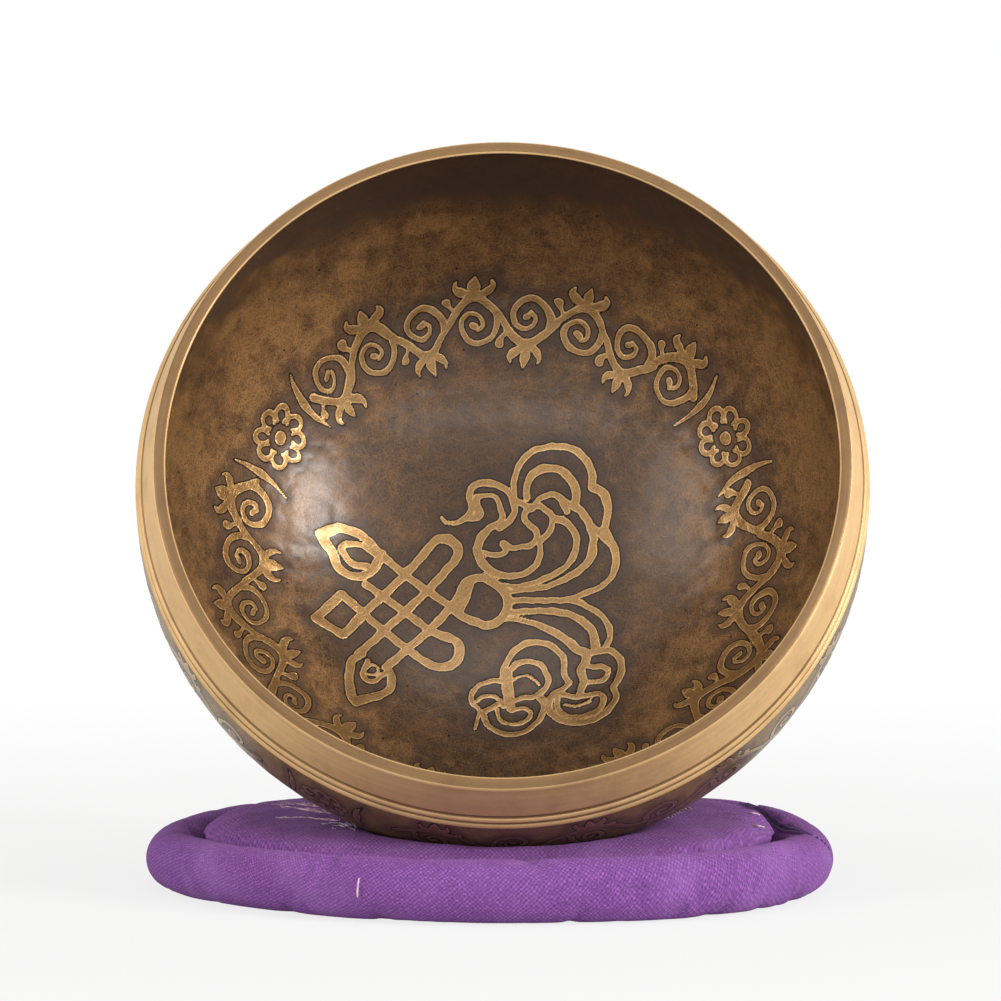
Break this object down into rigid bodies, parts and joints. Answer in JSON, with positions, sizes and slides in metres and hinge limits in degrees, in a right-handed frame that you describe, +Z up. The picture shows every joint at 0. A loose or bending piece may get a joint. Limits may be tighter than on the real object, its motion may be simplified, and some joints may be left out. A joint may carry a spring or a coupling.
{
  "type": "singing bowl",
  "caption": "Hammered bronze singing bowl with a turned band and beads under its lip, tipped forward on a round padded cloth cushion with a stuffed edge roll.",
  "frame": {"origin": "centre of the cushion's flat underside, where it lies on a table", "axes": "+Z up; the bowl's mouth faces -Y and is tipped 65.5 degrees from upright; +X to the right as seen from the mouth's side"},
  "size_m": [0.1324, 0.125, 0.1355],
  "materials": {
    "bronze": "hammered, dark patina, bright turned band and etched ornament",
    "twill": "matt woven twill",
    "cotton": "loose cotton filling"
  },
  "bodies": {
    "cushion": {"roll_cover": "twill", "roll_stuffing": "cotton", "centre_panel": "twill", "centre_wadding": "cotton", "base_panel": "twill"},
    "bowl": {"singing_bowl": "bronze"}
  },
  "joints": [
    {"name": "bowl_lift", "type": "slide", "parent": "cushion", "child": "bowl", "axis": [0, 0, 1], "range_m": [0, 0.12]}
  ]
}
